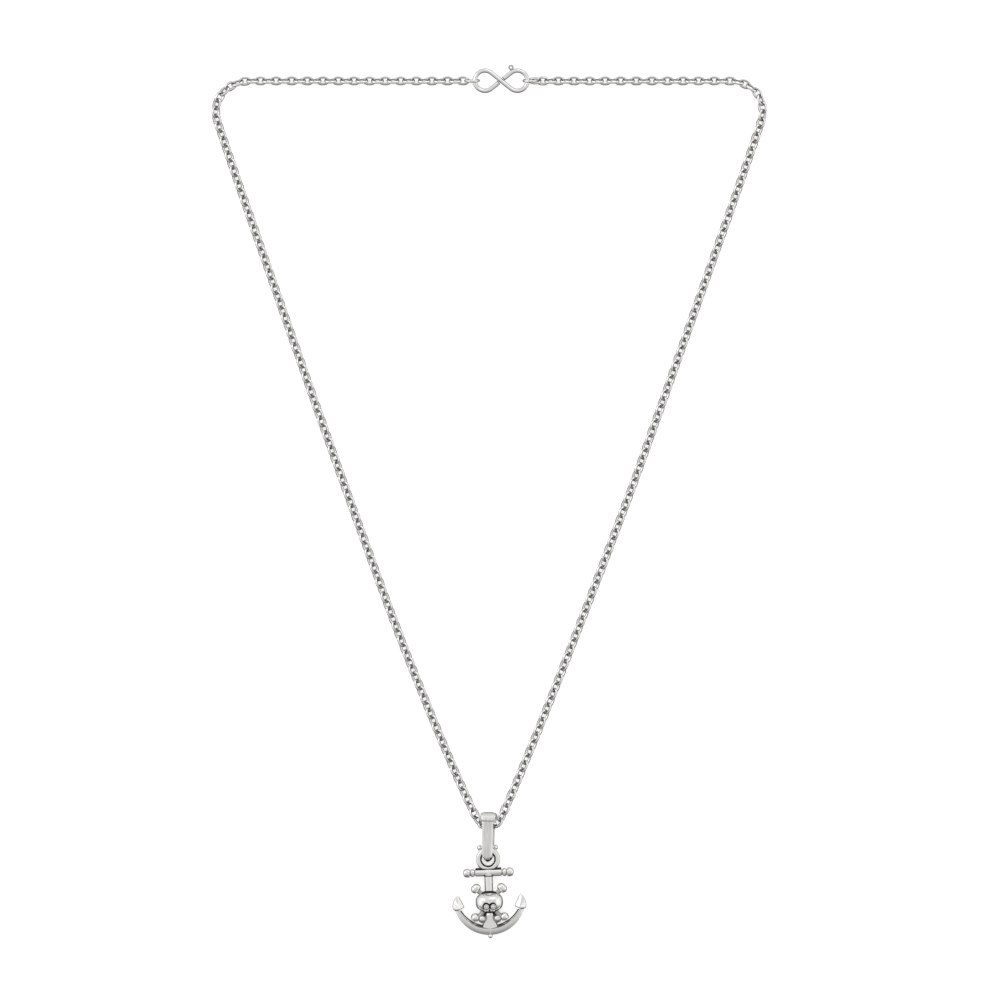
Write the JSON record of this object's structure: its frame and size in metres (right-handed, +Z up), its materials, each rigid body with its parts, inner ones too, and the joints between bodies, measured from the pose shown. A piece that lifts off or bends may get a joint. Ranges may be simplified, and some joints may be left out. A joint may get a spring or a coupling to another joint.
{
  "type": "anchor pendant necklace",
  "caption": "Polished silver necklace lying flat: a fine cable chain closed by an S hook, with a bail and a cast anchor that carries a skull, crossed bones and clear cut stones in its sockets.",
  "frame": {"origin": "on the surface that the necklace lies on, under the middle of its bounding box", "axes": "+Y along the necklace from the anchor up to the hook, +Z up from the surface, +X to the right"},
  "size_m": [0.1196, 0.1879, 0.0041],
  "materials": {
    "polished_silver": "polished",
    "clear_stone": "faceted, polished"
  },
  "bodies": {
    "root": {"chain": "polished_silver", "end_ring_left": "polished_silver", "end_ring_right": "polished_silver", "clasp_hook": "polished_silver", "bail": "polished_silver", "anchor": "polished_silver", "eye_stone_left": "clear_stone", "eye_stone_right": "clear_stone"}
  },
  "joints": []
}
